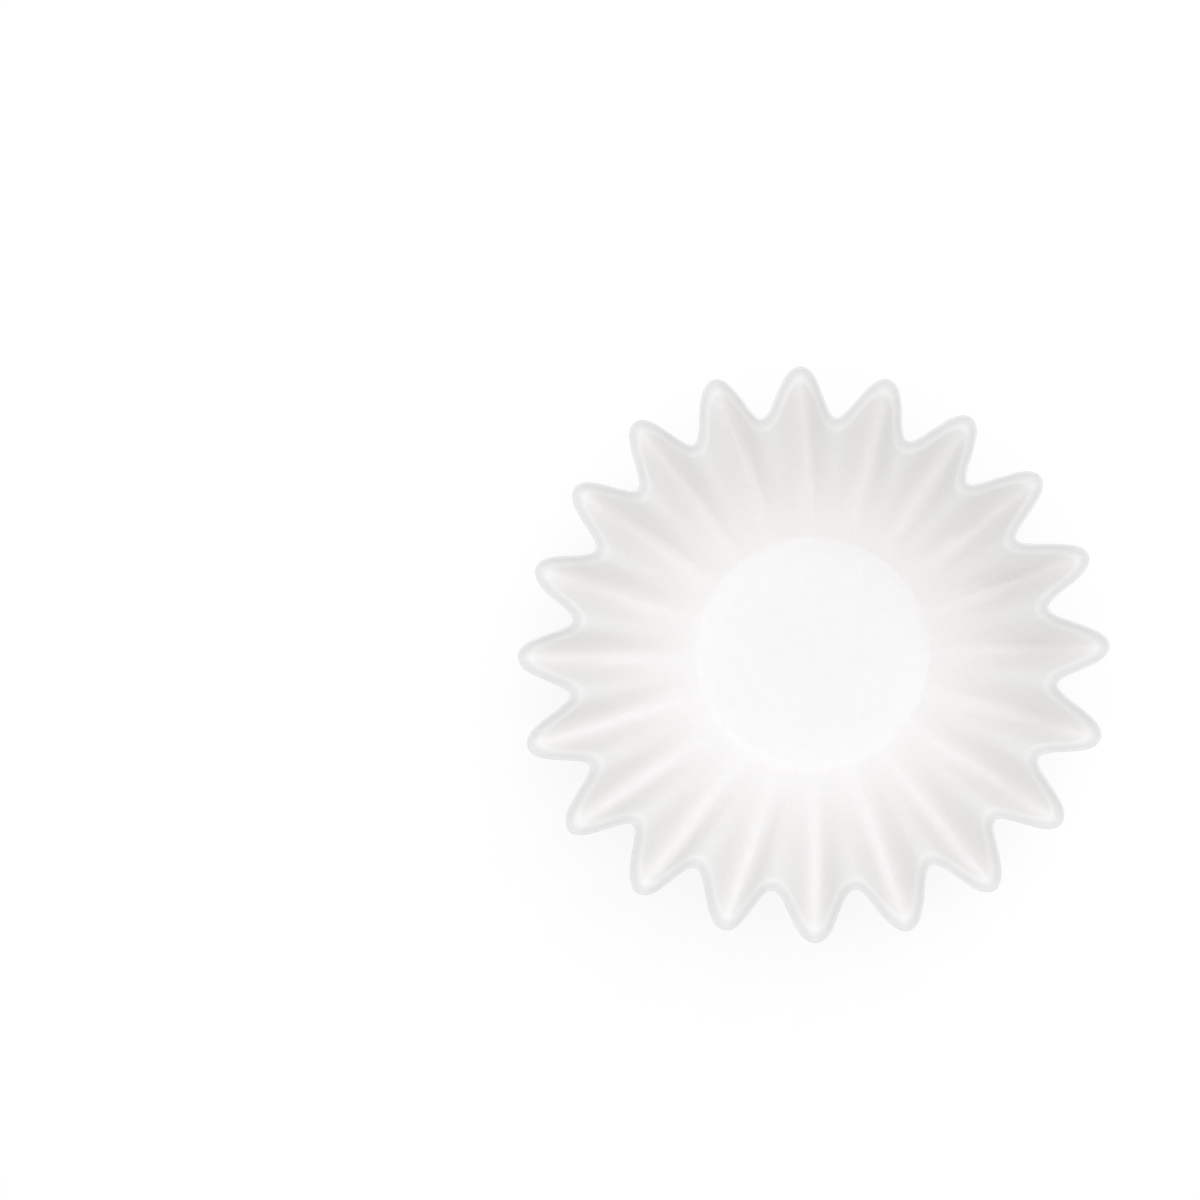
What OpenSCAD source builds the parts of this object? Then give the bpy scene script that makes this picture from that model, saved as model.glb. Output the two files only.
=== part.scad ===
// Paper coffee filter: a round sheet pressed into a flat-bottomed cup with a fluted wall.
//
// The paper does not stretch, so every level of the wall keeps the length of the circle
// that it was in the flat sheet. Where the cup is narrower than that circle, the spare
// length stands in the flutes: their depth is worked out from it, level by level.
// The origin is the centre of the base's underside, with +Z towards the open mouth.

/* [Sheet] */
// Diameter of the round sheet before it is pressed
sheet_d = 172; // [160:1:182]
// Thickness of the paper
paper_t = 0.25; // [0.15:0.05:0.5]

/* [Cup] */
// Diameter of the flat base, up to where the bend begins
base_d = 46; // [40:0.5:58]
// Diameter over the ridges of the flutes, at the rim
rim_d = 115; // [104:1:125]
// Radius of the bend between the base and the wall, in the middle of the paper
bend_r = 3; // [2:0.5:6]
// Length of the paper's edge that turns out from the wall
lip_length = 4.5; // [2:0.5:8]
// How far the edge stands out of the wall
lip_out = 0.7; // [0:0.1:1.2]

/* [Flutes] */
// Number of flutes round the wall
flutes = 20; // [16:1:26]
// How much fuller a ridge is than the channel beside it, at the rim. Below 0 the channel is
rim_fullness = -0.12; // [-0.4:0.01:0.2]
// The same at the base, where the ridges are narrow
base_fullness = -0.35; // [-0.4:0.01:0.2]
// How much rounder ridges and channels are than a plain wave
roundness = 0.1; // [0:0.01:0.1]
// How much higher the channels end than the ridges at the rim
rim_scallop = 2.5; // [0:0.5:4]
// Length of paper past the base over which the flutes rise to their full depth
rise_length = 60; // [20:1:60]

/* [Hidden] */

// Facets: columns in one flute, and rings round the bend, up the wall and on the lip
flute_cols = 12;
bend_rings = 3;
wall_rings = 6;
lip_rings = 2;
cols = flutes * flute_cols;

// Halvings of a search, and the step over which a slope is taken
halvings = 24;
slope_step = 0.02;

// The cup along a ridge, in the middle of the paper
base_r = base_d / 2;
rim_r = (rim_d - paper_t) / 2;
sheet_r = sheet_d / 2;
lip_start = sheet_r - lip_length;
wall_angle = steepness(0, 90);
bend_length = arc(bend_r, wall_angle);

// Length of an arc
function arc(radius, angle) = radius * angle * PI / 180;

// Distance from the axis to the ridge at the rim, for a wall that stands at this angle
function reach(angle) =
    base_r + (bend_r + lip_out) * sin(angle)
    + (sheet_r - base_r - arc(bend_r, angle)) * cos(angle);

// Angle of the wall above the table at which the whole sheet ends on the rim's diameter
function steepness(low, high, left = halvings) =
    let (middle = (low + high) / 2)
    left == 0 ? middle
    : reach(middle) > rim_r ? steepness(middle, high, left - 1)
    : steepness(low, middle, left - 1);

// Distance from the axis and height of a ridge, at a distance along the paper from the centre
function ridge_r(along) =
    let (past = along - base_r)
    past < bend_length
        ? base_r + bend_r * sin(past / bend_length * wall_angle)
        : base_r + bend_r * sin(wall_angle) + (past - bend_length) * cos(wall_angle);
function ridge_z(along) =
    let (past = along - base_r)
    past < bend_length
        ? bend_r * (1 - cos(past / bend_length * wall_angle))
        : bend_r * (1 - cos(wall_angle)) + (past - bend_length) * sin(wall_angle);

// Share of the way up the wall
function climb(along) = (along - base_r) / (sheet_r - base_r);

// Lift of the channels over the ridges, which grows up the wall
function lift(along) = rim_scallop * pow(climb(along), 2);

// How far the paper stands out of the wall at its edge
function lip(along) = lip_out * pow(max(0, along - lip_start) / lip_length, 2);

// Share of their depth that the flutes have near the base, where finer gathers take the rest
function rise(along) =
    let (share = min(1, (along - base_r) / rise_length))
    share * (2 - share);

// Wave of the flutes: 1 on a ridge, -1 in a channel
function fullness(along) = base_fullness + (rim_fullness - base_fullness) * climb(along);
function wave(angle, full) =
    let (turn = flutes * angle)
    cos(turn) + (full + roundness * cos(turn)) * pow(sin(turn), 2);

// Point on a level of the wall. A level is [ridge radius, ridge height, depth, lift, fullness]
function on_level(level, angle) =
    let (inward = (1 - wave(angle, level[4])) / 2, r = level[0] - level[2] * inward)
    [r * cos(angle), r * sin(angle), level[1] + level[3] * inward];

// Length of the paper round a level
function level_length(level) =
    let (step = 360 / flutes / (2 * flute_cols))
    flutes * sum([for (i = [0 : 2 * flute_cols - 1])
        norm(on_level(level, (i + 1) * step) - on_level(level, i * step))]);
function sum(values) = values * [for (value = values) 1];

// Flute depth that takes up all the paper of a level
function paper_depth(along, low, high, left = halvings) =
    let (middle = (low + high) / 2)
    left == 0 ? middle
    : level_length([ridge_r(along), 0, middle, lift(along), fullness(along)]) > 2 * PI * along
        ? paper_depth(along, low, middle, left - 1)
        : paper_depth(along, middle, high, left - 1);

function level(along) =
    let (r = ridge_r(along), shallow = 4 * r / pow(flutes, 2))
    [r, ridge_z(along), rise(along) * paper_depth(along, shallow, r / 2), lift(along), fullness(along)];

// Levels from the edge of the base to the rim, each with its neighbours just below and above
along_rings = [
    for (i = [0 : bend_rings]) base_r + bend_length * i / bend_rings,
    for (i = [1 : wall_rings])
        base_r + bend_length + (lip_start - base_r - bend_length) * i / wall_rings,
    for (i = [1 : lip_rings]) lip_start + lip_length * i / lip_rings
];
levels = [for (along = along_rings)
    [level(max(base_r, along - slope_step)), level(along), level(along + slope_step)]];

// Direction out of the cup, square to the paper
function outward(i, angle) =
    i == 0 ? [0, 0, -1]
    : let (
        round = on_level(levels[i][1], angle + slope_step) - on_level(levels[i][1], angle - slope_step),
        up = on_level(levels[i][2], angle) - on_level(levels[i][0], angle),
        square = cross(round, up))
    square / norm(square);

// Ring of points on one face of the paper: side is 1 outside and -1 inside
function ring(i, side) = [for (col = [0 : cols - 1])
    let (angle = 360 * col / cols, out = lip(along_rings[i]) + side * paper_t / 2)
    on_level(levels[i][1], angle) + [0, 0, paper_t / 2] + out * outward(i, angle)];

// One closed shell: up the outside from the base, over the rim and down the inside
module filter() {
    last = len(along_rings) - 1;
    rings = [
        for (i = [0 : last]) ring(i, 1),
        for (i = [last : -1 : 0]) ring(i, -1)
    ];
    points = [for (points = rings) each points];
    sides = [for (row = [0 : len(rings) - 2], col = [0 : cols - 1])
        let (next = (col + 1) % cols, below = row * cols, above = below + cols)
        each [
            [below + col, above + col, above + next],
            [below + col, above + next, below + next]
        ]];
    underside = [for (col = [0 : cols - 1]) col];
    inside_base = [for (col = [cols - 1 : -1 : 0]) (len(rings) - 1) * cols + col];
    color("whitesmoke")
    polyhedron(points = points, faces = concat([underside], sides, [inside_base]));
}

filter();
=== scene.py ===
"""Looks of a paper coffee filter: one round sheet of white filter paper, pressed into a
flat-bottomed cup with a fluted wall, seen from straight above on a white table."""

import math

import bpy
import numpy as np
from mathutils import Matrix, Vector

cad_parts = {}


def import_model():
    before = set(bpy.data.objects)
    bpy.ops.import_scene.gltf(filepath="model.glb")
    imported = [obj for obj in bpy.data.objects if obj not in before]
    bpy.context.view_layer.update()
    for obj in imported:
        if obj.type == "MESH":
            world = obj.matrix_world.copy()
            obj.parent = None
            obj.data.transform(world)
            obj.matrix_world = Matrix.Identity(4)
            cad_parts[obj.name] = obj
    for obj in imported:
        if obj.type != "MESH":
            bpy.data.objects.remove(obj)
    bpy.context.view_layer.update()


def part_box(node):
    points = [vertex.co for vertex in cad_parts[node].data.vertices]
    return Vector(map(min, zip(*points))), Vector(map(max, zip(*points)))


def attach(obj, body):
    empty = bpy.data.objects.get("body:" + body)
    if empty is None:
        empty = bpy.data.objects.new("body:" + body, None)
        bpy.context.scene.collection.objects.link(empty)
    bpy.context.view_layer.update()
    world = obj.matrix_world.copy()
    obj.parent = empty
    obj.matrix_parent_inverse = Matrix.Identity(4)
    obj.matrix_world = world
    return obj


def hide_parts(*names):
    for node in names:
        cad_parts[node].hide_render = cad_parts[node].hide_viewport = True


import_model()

MM = 0.001

# The sheet and the cup, as the part's source has them, with radii to the middle of the paper.
# The rim's comes from the far side of the solid's box along X, which is a ridge
SHEET_R = 86 * MM
PAPER_T = 0.25 * MM
BASE_R = 23 * MM
RIM_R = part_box("filter")[1][0] - PAPER_T / 2
BEND_R = 3 * MM
LIP_OUT = 0.7 * MM
FLUTES = 20
RIM_FULLNESS = -0.12
BASE_FULLNESS = -0.35
ROUNDNESS = 0.1
RIM_SCALLOP = 2.5 * MM
RISE_LENGTH = 60 * MM

# How unevenly the opened cup stands at its rim. Each line is one swing round the rim:
# how many times it swings, how far, and the direction of its first high point in degrees.
# The flutes' turn and the channels' lean are in degrees
RIDGES_OUT = (
    (1, 0.76 * MM, -117),
    (2, 0.67 * MM, -22),
    (3, 0.76 * MM, -73),
    (4, 0.38 * MM, 124),
)
CHANNELS_OUT = (
    (0, -0.35 * MM, 0),
    (1, 0.94 * MM, -129),
    (2, 0.53 * MM, -42),
    (3, 0.82 * MM, -70),
)
FLUTES_TURNED = (
    (1, 1.07, 39),
    (2, 0.33, -120),
    (3, 0.23, -153),
)
CHANNELS_LEAN = (
    (0, 0.25, 0),
    (1, 0.61, 61),
    (2, 0.45, -88),
    (3, 0.47, -171),
    (4, 0.24, 68),
)
RIM_RAISED = (
    (2, 0.35 * MM, 60),
    (3, 0.30 * MM, -40),
    (5, 0.20 * MM, 15),
)

# How the unevenness grows up the wall, as a power of the share of the way up
UNEVEN_GROWTH = 1.2

# The flared lip: how much of the paper it takes, and how far it stands out of the wall. The
# wall below it stands in by the difference to the source, which keeps the edge in its place,
# and this inset grows up the wall as a power of the share of the way up
LIP_LENGTH = 3.4 * MM
LIP_REACH = 1.2 * MM
INSET_GROWTH = 3

# Fine relief of the wall, as sums of swings round it. Each line is the seed of its draws,
# the numbers of swings and the depth
CREASES = (3, range(46, 170, 6), 0.05 * MM)
BULGES = (5, range(9, 40, 4), 0.1 * MM)
GATHERS = (8, range(70, 200, 7), 0.035 * MM)

# How fast such a swing fades in and out up the wall, between these two, in radians over the
# sheet's radius, and how far and how often it wanders aside round the wall
STREAK_FADES = (5, 14)
STREAK_WANDER = 0.6
STREAK_BENDS = 3

# Shares of the way up the wall: where creases and bulges have come to their full depth,
# where the gathers are deepest, and how far they reach from there
CREASED_FROM = 0.12
GATHERED_AT = 0.055
GATHERS_REACH = 0.045

# Small pinches where the flutes run out towards the base: how far up the paper, and their
# size. Aside is a share of a flute's width, and the shallowest a share of the depth
PINCH_SEED = 21
PINCH_ALONG = 37 * MM
PINCH_SCATTER = 1.6 * MM
PINCH_ASIDE = 0.12
PINCH_LENGTH = 0.5 * MM
PINCH_WIDTH = 1.1 * MM
PINCH_DEPTH = 0.16 * MM
PINCH_SHALLOWEST = 0.3
PINCH_SLANT = 0.6

# Ridges that are creased sharply over part of their height: which one, and how sharply
SHARP_RIDGES = (
    (18, 0.4),
    (19, 0.6),
    (0, 1.0),
    (1, 1.0),
    (2, 0.7),
)
SHARP_DEPTH = 0.5 * MM
SHARP_WIDTH = 0.9 * MM
SHARP_ALONG = 66 * MM
SHARP_LENGTH = 13 * MM

# Fineness of the mesh: columns in a flute and how they crowd on its ridge and in its channel,
# and rows on each stretch of the paper. The rows are finer this far above and below the pinches
COLS_PER_FLUTE = 28
COLS = FLUTES * COLS_PER_FLUTE
CROWDING = 0.25
BASE_ROWS = 6
BEND_ROWS = 8
LOW_ROWS = 7
PINCH_ROWS = 17
HIGH_ROWS = 32
LIP_ROWS = 10
PINCH_SPAN = 3.5 * MM

# How far the middle of the sheet's cut edge stands out, as a share of the last row
EDGE_CROWN = 0.006

# Halvings of a search, steps in which the length of a flute's wave is measured, and the
# distance past the base at which the wave is first searched for
HALVINGS = 40
WAVE_STEPS = 96
HAIR = 0.001 * MM

# The photograph's frame, where the filter's axis falls in it, and the camera
FRAME_PX = 1200
AXIS_PX = (812, 654)
FOCAL_PX = 2773
CAMERA_HEIGHT = 598 * MM
CAMERA_ROLL = math.radians(-1.25)
SENSOR_MM = 36
CLIP_START = 10 * MM

# The paper's surface, by the names of the shader's inputs
PAPER_SURFACE = {
    "Roughness": 0.92,
    "Specular IOR Level": 0.18,
    "Sheen Weight": 0.06,
    "Sheen Roughness": 0.6,
    "Subsurface Weight": 1,
    "Subsurface Radius": (1, 1, 1),
    "Subsurface Scale": 0.3 * MM,
}

# The paper's colour, and two tones of its clouds: the place in the clouds' range, and the
# share of the colour
PAPER_COLOUR = (0.917, 0.908, 0.896)
CLOUD_TONES = (
    (0.3, 0.982),
    (0.7, 1.008),
)

# Clouds, crepe and fibres of the paper, as noise on the flat sheet. The crepe is stretched
CLOUDS = {"Scale": 60, "Detail": 6, "Roughness": 0.65}
CREPE = {"Scale": 150, "Detail": 3, "Roughness": 0.55}
FIBRES = {"Scale": 700, "Detail": 4, "Roughness": 0.7}
CREPE_STRETCH = (1, 3.2, 1)
CREPE_BUMP = {"Strength": 0.35, "Distance": 0.06 * MM}
FIBRE_BUMP = {"Strength": 0.4, "Distance": 0.03 * MM}

# Painted shade: a soft grey darkening of the outer half of the lip, where shade falls. Its colour
# and strength, and the distances from the edge at which it starts to fade and ends
PAINTED_EDGE_SHADE_COLOUR = (0.57, 0.58, 0.61, 1)
PAINTED_EDGE_SHADE_SHARE = 0.4
PAINTED_EDGE_SHADE_FADE = (0.7 * MM, 3 * MM)

# Painted shade: faint brownish darkening in the folds of some ridges, and one real fleck in the
# paper. Each line is the direction in degrees, the distance along the paper, half the length, half
# the width and the strength
FOLD_SHADE_AND_FLECK_COLOUR = (0.48, 0.42, 0.36, 1)
FOLD_SHADES_AND_FLECK = (
    (-16.4, 68 * MM, 16 * MM, 3.2 * MM, 0.09),
    (1.3, 64 * MM, 20 * MM, 3.2 * MM, 0.14),
    (19.4, 61 * MM, 21 * MM, 3.4 * MM, 0.16),
    (37.6, 60 * MM, 15 * MM, 3.4 * MM, 0.08),
    (19.0, 59.5 * MM, 0.5 * MM, 0.5 * MM, 0.35),
)

# The table: half its width in metres, the share of plain white over its shadow as the camera
# sees it, and the colour that it throws back on the paper
TABLE_HALF = 3
TABLE_WHITENING = 0.75
TABLE_COLOUR = (0.8, 0.8, 0.8, 1)
WHITE = (1, 1, 1, 1)

# Light from all round, and soft lamps. Each lamp is its name, its place, its width and its
# power, in metres and watts, and all of them point at one place in the cup
SKY = {"Color": (0.986, 1, 0.95, 1), "Strength": 0.662}
LAMPS = (
    ("back_light", (0.256, 0.444, 1.41), 0.7, 4.46),
    ("top_light", (0, 0, 1.5), 0.8, 5.83),
)
LAMP_COLOUR = (0.912, 0.899, 0.99)
LAMP_TARGET = (0, 0, 0.03)


def camera():
    """The camera hangs on the filter's axis and is turned until the filter is off centre."""
    data = bpy.data.cameras.new("camera")
    data.sensor_width = SENSOR_MM
    data.lens = SENSOR_MM * FOCAL_PX / FRAME_PX
    data.clip_start = CLIP_START
    view = bpy.data.objects.new("camera", data)
    bpy.context.scene.collection.objects.link(view)
    across = (AXIS_PX[0] - FRAME_PX / 2) / FOCAL_PX
    down = (AXIS_PX[1] - FRAME_PX / 2) / FOCAL_PX
    seen = Vector((across, -down, -1)).normalized()
    turn = seen.rotation_difference(Vector((0, 0, -1))).to_matrix().to_4x4()
    view.matrix_world = (
        Matrix.Translation((0, 0, CAMERA_HEIGHT)) @ Matrix.Rotation(CAMERA_ROLL, 4, "Z") @ turn
    )
    bpy.context.scene.camera = view


def swing(lines, angle):
    """Sum of the uneven lines at these angles."""
    total = np.zeros_like(angle)
    for order, size, direction in lines:
        total += size * np.cos(order * angle - math.radians(direction))
    return total


def halving(test, low, high):
    """Value at which the test turns from true to false, for each entry of the arrays."""
    for _ in range(HALVINGS):
        middle = (low + high) / 2
        over = test(middle)
        low = np.where(over, middle, low)
        high = np.where(over, high, middle)
    return (low + high) / 2


def wall_angle():
    """Angle of a ridge above the table at which the whole sheet ends at the rim."""
    def too_far(angle):
        straight = SHEET_R - BASE_R - BEND_R * angle
        return BASE_R + (BEND_R + LIP_OUT) * np.sin(angle) + straight * np.cos(angle) > RIM_R
    return float(halving(too_far, np.array(0.0), np.array(math.pi / 2)))


WALL_ANGLE = wall_angle()
BEND_LENGTH = BEND_R * WALL_ANGLE


def ridge(along):
    """Distance from the axis and height of a ridge, at a distance along the paper."""
    past = np.clip(along - BASE_R, 0, None)
    bent = np.minimum(past, BEND_LENGTH) / BEND_R
    straight = np.clip(past - BEND_LENGTH, 0, None)
    out = np.minimum(along, BASE_R) + BEND_R * np.sin(bent) + straight * math.cos(WALL_ANGLE)
    up = BEND_R * (1 - np.cos(bent)) + straight * math.sin(WALL_ANGLE)
    return out, up


def climb(along):
    """Share of the way up the wall, which is below 0 on the base."""
    return (along - BASE_R) / (SHEET_R - BASE_R)


def wave(turn, along):
    """Wave of the flutes: 1 on a ridge, -1 in a channel. Low on the wall the ridges are narrow."""
    share = np.clip(climb(along), 0, 1)
    fullness = BASE_FULLNESS + (RIM_FULLNESS - BASE_FULLNESS) * share
    return np.cos(turn) + (fullness + ROUNDNESS * np.cos(turn)) * np.sin(turn) ** 2


def flute_depth(along):
    """Depth at which the flutes take up the paper of each level, as in the part's source."""
    out, _ = ridge(along)
    turn = np.linspace(0, 2 * np.pi, WAVE_STEPS + 1)[None, :]
    angle = turn / FLUTES

    def too_short(depth):
        r = out[:, None] - depth[:, None] * (1 - wave(turn, along[:, None])) / 2
        length = np.hypot(np.diff(r * np.cos(angle)), np.diff(r * np.sin(angle))).sum(axis=1)
        return FLUTES * length < 2 * np.pi * along

    shallow = 4 * out / FLUTES ** 2
    depth = halving(too_short, shallow, out / 2)
    share = np.clip((along - BASE_R) / RISE_LENGTH, 0, 1)
    return depth * share * (2 - share)


def paper(along, angle):
    """Middle of the smooth paper at distances along it (rows) and angles (columns)."""
    out, up = ridge(along)
    depth = flute_depth(np.maximum(along, BASE_R + HAIR))
    along, out, up, depth = (values[:, None] for values in (along, out, up, depth))
    angle = angle[None, :]
    share = np.clip(climb(along), 0, 1)
    uneven = share ** UNEVEN_GROWTH
    inward = (1 - wave(FLUTES * angle, along)) / 2
    turn = swing(FLUTES_TURNED, angle) + inward * swing(CHANNELS_LEAN, angle)
    turned = angle + uneven * np.radians(turn)
    ridge_r = out + uneven * swing(RIDGES_OUT, angle)
    channel_r = out - depth + uneven * swing(CHANNELS_OUT, angle)
    r = ridge_r + (channel_r - ridge_r) * inward
    z = up + RIM_SCALLOP * share ** 2 * inward + uneven * swing(RIM_RAISED, angle)
    return np.stack([r * np.cos(turned), r * np.sin(turned), z + PAPER_T / 2], axis=-1)


def streaks(along, angle, seed, orders, depth):
    """Fine soft creases that run up the wall, as a sum of many swings round it."""
    draw = np.random.RandomState(seed)
    total = np.zeros(np.broadcast(along, angle).shape)
    for order in orders:
        first, second, third = draw.uniform(0, 2 * np.pi, 3)
        reach = 0.5 + 0.5 * np.cos(along / SHEET_R * draw.uniform(*STREAK_FADES) + second)
        wander = STREAK_WANDER * np.sin(STREAK_BENDS * angle + third)
        total += np.cos(order * angle + first + wander) * reach
    return total * depth / math.sqrt(len(orders))


def within_half_turn(angle):
    """The same direction, as an angle between half a turn back and half a turn on."""
    return (angle + np.pi) % (2 * np.pi) - np.pi


def pinches(along, angle):
    """A small slanting crease at the lower end of each flute."""
    draw = np.random.RandomState(PINCH_SEED)
    total = np.zeros(np.broadcast(along, angle).shape)
    for flute in range(FLUTES):
        middle = 2 * np.pi * (flute + draw.uniform(-PINCH_ASIDE, PINCH_ASIDE)) / FLUTES
        height = PINCH_ALONG + PINCH_SCATTER * draw.uniform(-1, 1)
        depth = PINCH_DEPTH * draw.uniform(PINCH_SHALLOWEST, 1)
        slant = draw.uniform(-PINCH_SLANT, PINCH_SLANT)
        aside = within_half_turn(angle - middle) * ridge(PINCH_ALONG)[0] / PINCH_WIDTH
        above = (along - height) / PINCH_LENGTH + slant * aside
        total += depth * np.exp(-above ** 2 - aside ** 2)
    return total


def sharp_ridges(along, angle):
    """Some ridges stand out to a crease, where the paper was folded tighter."""
    total = np.zeros(np.broadcast(along, angle).shape)
    out, _ = ridge(along)
    window = np.exp(-((along - SHARP_ALONG) / SHARP_LENGTH) ** 2)
    for flute, sharpness in SHARP_RIDGES:
        across = within_half_turn(angle - 2 * np.pi * flute / FLUTES)
        aside = np.abs(across) * out / SHARP_WIDTH
        total += SHARP_DEPTH * sharpness * window * np.exp(-aside)
    return total


def relief(along, angle):
    """How far the paper stands out of its smooth form, square to itself."""
    along = along[:, None]
    angle = angle[None, :]
    share = climb(along)
    on_wall = np.clip(share / CREASED_FROM, 0, 1) ** 2
    creases = streaks(along, angle, *CREASES) * on_wall
    bulges = streaks(along, angle, *BULGES) * on_wall
    near_bend = np.exp(-((share - GATHERED_AT) / GATHERS_REACH) ** 2)
    gathers = streaks(along, angle, *GATHERS) * near_bend
    folds = pinches(along, angle) + sharp_ridges(along, angle)
    return creases + bulges + gathers + folds


def normals(points):
    """Unit normals out of the cup, from the neighbours of each point."""
    around = np.roll(points, -1, axis=1) - np.roll(points, 1, axis=1)
    up = np.gradient(points, axis=0)
    square = np.cross(around, up)
    return square / np.linalg.norm(square, axis=-1, keepdims=True)


def add_lip(points, along):
    """Flare the last stretch of the paper out of the wall, less so at the very edge."""
    start = SHEET_R - LIP_LENGTH
    past = np.clip((along - start) / LIP_LENGTH, 0, 1)
    flared = past ** 2 * (3 - past) / 2 * LIP_REACH
    share = np.clip((along - BASE_R) / (start - BASE_R), 0, 1)
    inset = share ** INSET_GROWTH * (LIP_REACH - LIP_OUT)
    return points + normals(points) * (flared - inset)[:, None, None]


def rows():
    """Distances along the paper, from the middle of the base to the edge of the sheet."""
    base = np.linspace(0, 1, BASE_ROWS + 1)[1:-1] * BASE_R
    bend = BASE_R + np.linspace(0, 1, BEND_ROWS + 1) * BEND_LENGTH
    wall = BASE_R + BEND_LENGTH
    below = PINCH_ALONG - PINCH_SPAN
    above = PINCH_ALONG + PINCH_SPAN
    lip = SHEET_R - LIP_LENGTH
    spans = (
        (wall, below, LOW_ROWS),
        (below, above, PINCH_ROWS),
        (above, lip, HIGH_ROWS),
        (lip, SHEET_R, LIP_ROWS),
    )
    up = [np.linspace(start, end, count + 1)[1:] for start, end, count in spans]
    return np.concatenate([base, bend, *up])


def columns():
    """Angles round the filter, closer together on the ridges and in the channels."""
    even = np.arange(COLS) * 2 * np.pi / COLS
    return even - CROWDING * np.sin(2 * FLUTES * even) / FLUTES


def shell_rings(along, angle):
    """Rings of the closed shell: up the outside of the paper, round its edge, down the inside."""
    middle = paper(along, angle)
    middle = middle + normals(middle) * relief(along, angle)[..., None]
    middle = add_lip(middle, along)
    out = normals(middle)
    flat = along <= BASE_R
    out[flat] = (0, 0, -1)
    middle[flat, :, 2] = PAPER_T / 2
    outside = middle + out * PAPER_T / 2
    inside = middle - out * PAPER_T / 2
    edge = middle[-1] + np.gradient(middle, axis=0)[-1] * EDGE_CROWN
    return np.concatenate([outside, edge[None], inside[::-1]])


def shell_faces(count):
    """Faces between this many rings, and a fan to a middle point at each end."""
    row, col = np.meshgrid(np.arange(count - 1), np.arange(COLS), indexing="ij")
    here = row * COLS + col
    beside = row * COLS + (col + 1) % COLS
    quads = np.stack([here, beside, beside + COLS, here + COLS], axis=-1)
    last = (count - 1) * COLS
    outside_middle = count * COLS
    inside_middle = outside_middle + 1
    faces = quads.reshape(-1, 4).tolist()
    faces += [[outside_middle, (c + 1) % COLS, c] for c in range(COLS)]
    faces += [[inside_middle, last + c, last + (c + 1) % COLS] for c in range(COLS)]
    return faces


def lay_flat(mesh, along, angle):
    """Give the mesh its places on the flat sheet, from 0 to 1 across it."""
    x = np.append(along[:, None] * np.cos(angle), [0, 0])
    y = np.append(along[:, None] * np.sin(angle), [0, 0])
    places = 0.5 + np.stack([x, y], axis=-1) / (2 * SHEET_R)
    corners = np.empty(len(mesh.loops), dtype=np.int32)
    mesh.loops.foreach_get("vertex_index", corners)
    layer = mesh.uv_layers.new(name="flat_sheet")
    layer.data.foreach_set("uv", places[corners].reshape(-1))


def filter_mesh():
    """One closed shell: both faces of the paper, joined round its edge."""
    along = rows()
    angle = columns()
    rings = shell_rings(along, angle)
    middles = [[0, 0, 0], [0, 0, PAPER_T]]
    points = np.vstack([rings.reshape(-1, 3), middles])
    mesh = bpy.data.meshes.new("filter_paper")
    mesh.from_pydata(points.tolist(), [], shell_faces(len(rings)))
    mesh.polygons.foreach_set("use_smooth", [True] * len(mesh.polygons))
    lay_flat(mesh, np.concatenate([along, along[-1:], along[::-1]]), angle)
    mesh.validate()
    mesh.update()
    return mesh


def empty_tree(owner):
    """Shader nodes of a material or a world, with none in them yet."""
    owner.use_nodes = True
    owner.node_tree.nodes.clear()
    return owner.node_tree


def node(tree, kind, place, inputs=None, **settings):
    """A new shader node, with its settings and the values of its inputs."""
    new = tree.nodes.new(kind)
    new.location = place
    for name, value in settings.items():
        setattr(new, name, value)
    for name, value in (inputs or {}).items():
        new.inputs[name].default_value = value
    return new


def fade(tree, value, span, shares):
    """Share that passes softly from the first to the second as the value crosses the span."""
    ends = {"From Min": span[0], "From Max": span[1], "To Min": shares[0], "To Max": shares[1]}
    share = node(tree, "ShaderNodeMapRange", (-500, 600), ends, interpolation_type="SMOOTHSTEP")
    tree.links.new(value, share.inputs["Value"])
    return share.outputs["Result"]


def mark(tree, where, direction, along, length, width, strength):
    """Share of a soft oval mark on the flat sheet."""
    turn = math.radians(direction)
    sheet = 2 * SHEET_R
    form = {
        "Location": (0.5 + along / sheet * math.cos(turn), 0.5 + along / sheet * math.sin(turn), 0),
        "Rotation": (0, 0, turn),
        "Scale": (length / sheet, width / sheet, 1),
    }
    spot = node(tree, "ShaderNodeMapping", (-900, 600), form, vector_type="TEXTURE")
    tree.links.new(where, spot.inputs["Vector"])
    away = node(tree, "ShaderNodeVectorMath", (-700, 600), operation="LENGTH")
    tree.links.new(spot.outputs["Vector"], away.inputs[0])
    return fade(tree, away.outputs["Value"], (0, 1), (strength, 0))


def painted_edge_shade(tree, where):
    """Share of the painted grey shade near the edge of the flat sheet."""
    middle = {1: (0.5, 0.5, 0)}
    away = node(tree, "ShaderNodeVectorMath", (-900, 900), middle, operation="DISTANCE")
    tree.links.new(where, away.inputs[0])
    full, none = (0.5 - distance / (2 * SHEET_R) for distance in PAINTED_EDGE_SHADE_FADE)
    return fade(tree, away.outputs["Value"], (none, full), (0, PAINTED_EDGE_SHADE_SHARE))


def tinted(tree, colour, share, tint):
    """Mix of a colour with a tint, by a share."""
    mix = node(tree, "ShaderNodeMix", (300, 300), data_type="RGBA")
    mix.inputs["B"].default_value = tint
    tree.links.new(colour, mix.inputs["A"])
    tree.links.new(share, mix.inputs["Factor"])
    return mix.outputs["Result"]


def noise(tree, where, place, texture):
    """Noise on the flat sheet."""
    new = node(tree, "ShaderNodeTexNoise", place, texture)
    tree.links.new(where, new.inputs["Vector"])
    return new.outputs["Fac"]


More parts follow.
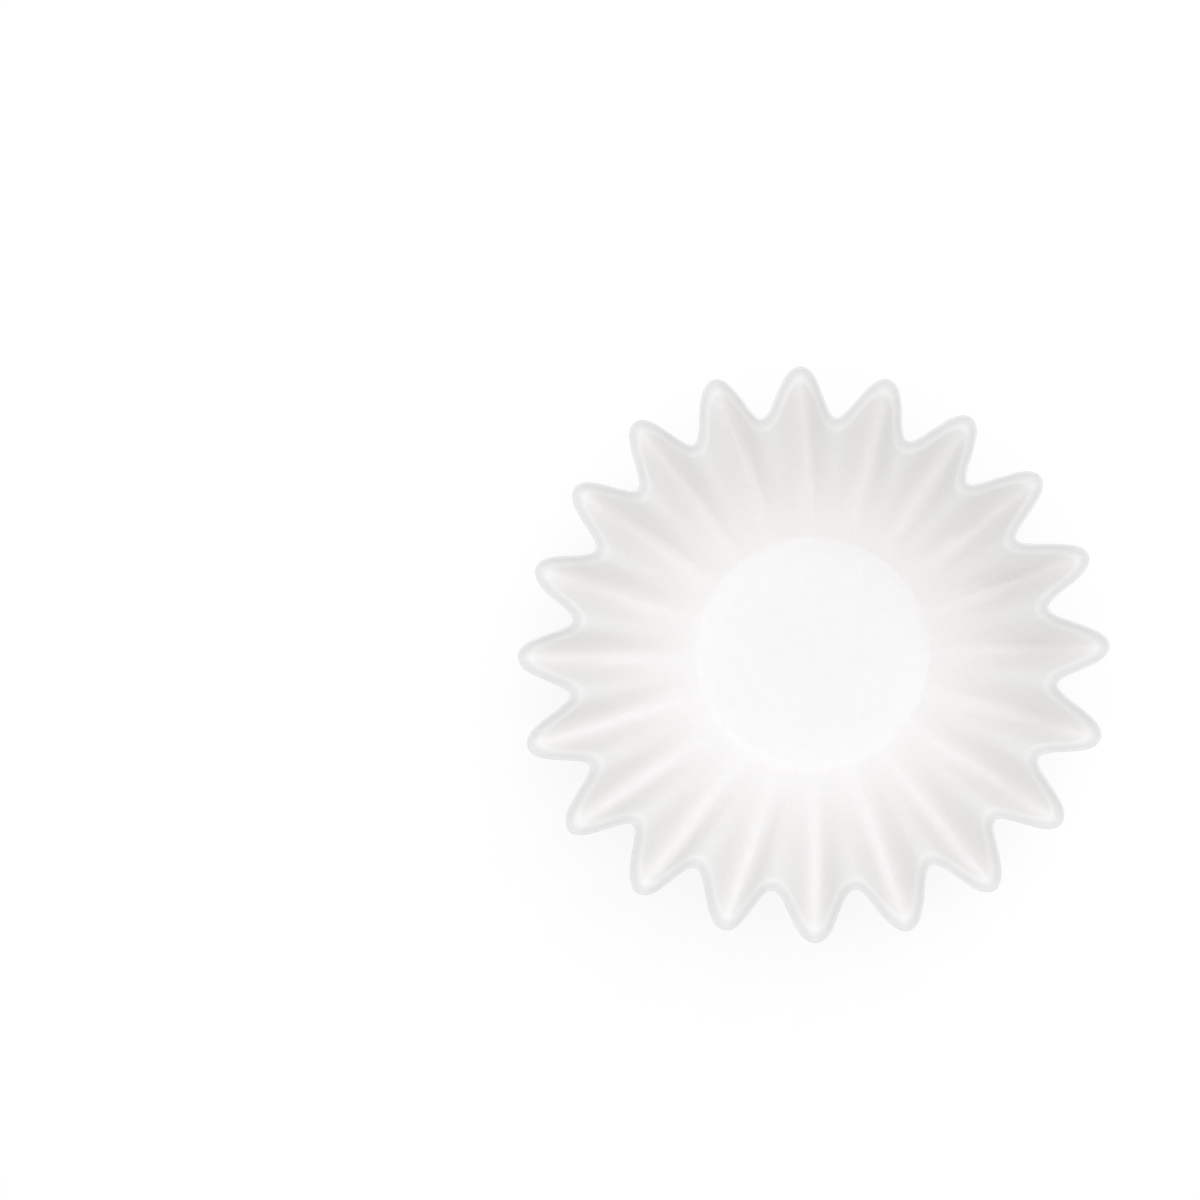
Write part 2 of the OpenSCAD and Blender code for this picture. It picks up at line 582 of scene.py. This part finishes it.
def paper_colour(tree, where):
    """White with soft clouds, painted shade in its folds and along its edge, and one fleck."""
    tones = node(tree, "ShaderNodeValToRGB", (-600, 300))
    for stop, (position, share) in zip(tones.color_ramp.elements, CLOUD_TONES):
        stop.position = position
        stop.color = [channel * share for channel in PAPER_COLOUR] + [1]
    tree.links.new(noise(tree, where, (-900, 300), CLOUDS), tones.inputs["Fac"])
    colour = tones.outputs["Color"]
    # Painted shade in the folds of some ridges, and one fleck in the paper
    for line in FOLD_SHADES_AND_FLECK:
        colour = tinted(tree, colour, mark(tree, where, *line), FOLD_SHADE_AND_FLECK_COLOUR)
    # Painted shade: grey darkening along the edge of the sheet
    return tinted(tree, colour, painted_edge_shade(tree, where), PAINTED_EDGE_SHADE_COLOUR)


def paper_normal(tree, where):
    """Relief too fine for the mesh: the crepe, and the fibres over it."""
    stretch = node(tree, "ShaderNodeMapping", (-900, -100), {"Scale": CREPE_STRETCH})
    tree.links.new(where, stretch.inputs["Vector"])
    crepe = noise(tree, stretch.outputs["Vector"], (-600, -100), CREPE)
    fibres = noise(tree, where, (-600, -400), FIBRES)
    low = node(tree, "ShaderNodeBump", (-300, -100), CREPE_BUMP)
    tree.links.new(crepe, low.inputs["Height"])
    fine = node(tree, "ShaderNodeBump", (0, -200), FIBRE_BUMP)
    tree.links.new(fibres, fine.inputs["Height"])
    tree.links.new(low.outputs["Normal"], fine.inputs["Normal"])
    return fine.outputs["Normal"]


def paper_material():
    """Bleached filter paper: matt, cloudy, with fibres and a fine crepe."""
    material = bpy.data.materials.new("filter_paper")
    tree = empty_tree(material)
    where = node(tree, "ShaderNodeUVMap", (-1200, 0), uv_map="flat_sheet").outputs["UV"]
    surface = node(tree, "ShaderNodeBsdfPrincipled", (600, 0), PAPER_SURFACE)
    tree.links.new(paper_colour(tree, where), surface.inputs["Base Color"])
    tree.links.new(paper_normal(tree, where), surface.inputs["Normal"])
    result = node(tree, "ShaderNodeOutputMaterial", (900, 0))
    tree.links.new(surface.outputs["BSDF"], result.inputs["Surface"])
    return material


def filter_piece():
    """The filter, in place of its plain solid."""
    piece = bpy.data.objects.new("filter_paper", filter_mesh())
    bpy.context.scene.collection.objects.link(piece)
    piece.data.materials.append(paper_material())
    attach(piece, "root")
    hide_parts("filter")


def floor_material():
    """White with a faint shadow to the camera, and light grey to the light round the paper."""
    material = bpy.data.materials.new("floor")
    tree = empty_tree(material)
    link = tree.links.new
    shaded = node(tree, "ShaderNodeBsdfDiffuse", (0, -100), {"Color": WHITE})
    white = node(tree, "ShaderNodeEmission", (0, -250), {"Color": WHITE, "Strength": 1})
    seen = node(tree, "ShaderNodeMixShader", (200, -150), {"Fac": TABLE_WHITENING})
    link(shaded.outputs["BSDF"], seen.inputs[1])
    link(white.outputs["Emission"], seen.inputs[2])
    plain = node(tree, "ShaderNodeBsdfDiffuse", (0, 100), {"Color": TABLE_COLOUR})
    rays = node(tree, "ShaderNodeLightPath", (0, 300))
    direct = node(tree, "ShaderNodeMath", (200, 300), operation="MAXIMUM")
    link(rays.outputs["Is Camera Ray"], direct.inputs[0])
    link(rays.outputs["Is Glossy Ray"], direct.inputs[1])
    mix = node(tree, "ShaderNodeMixShader", (400, 0))
    link(direct.outputs["Value"], mix.inputs["Fac"])
    link(plain.outputs["BSDF"], mix.inputs[1])
    link(seen.outputs["Shader"], mix.inputs[2])
    result = node(tree, "ShaderNodeOutputMaterial", (600, 0))
    link(mix.outputs["Shader"], result.inputs["Surface"])
    return material


def floor():
    """A white table, which the camera sees as white and which keeps the shadow."""
    mesh = bpy.data.meshes.new("floor")
    signs = ((-1, -1), (1, -1), (1, 1), (-1, 1))
    corners = [(x * TABLE_HALF, y * TABLE_HALF, 0) for x, y in signs]
    mesh.from_pydata(corners, [], [(0, 1, 2, 3)])
    table = bpy.data.objects.new("floor", mesh)
    bpy.context.scene.collection.objects.link(table)
    mesh.materials.append(floor_material())


def world():
    """Even white light from all round."""
    sky = bpy.data.worlds.new("world")
    bpy.context.scene.world = sky
    tree = empty_tree(sky)
    light = node(tree, "ShaderNodeBackground", (0, 0), SKY)
    result = node(tree, "ShaderNodeOutputWorld", (300, 0))
    tree.links.new(light.outputs["Background"], result.inputs["Surface"])


def lamp(name, place, width, power):
    """A large soft lamp that points into the cup."""
    data = bpy.data.lights.new(name, "AREA")
    data.shape = "DISK"
    data.size = width
    data.energy = power
    data.color = LAMP_COLOUR
    light = bpy.data.objects.new(name, data)
    bpy.context.scene.collection.objects.link(light)
    light.location = place
    aim = Vector(LAMP_TARGET) - Vector(place)
    light.rotation_euler = aim.to_track_quat("-Z", "Y").to_euler()


camera()
filter_piece()
floor()
world()
for line in LAMPS:
    lamp(*line)

view = bpy.context.scene.view_settings
view.view_transform = "Standard"
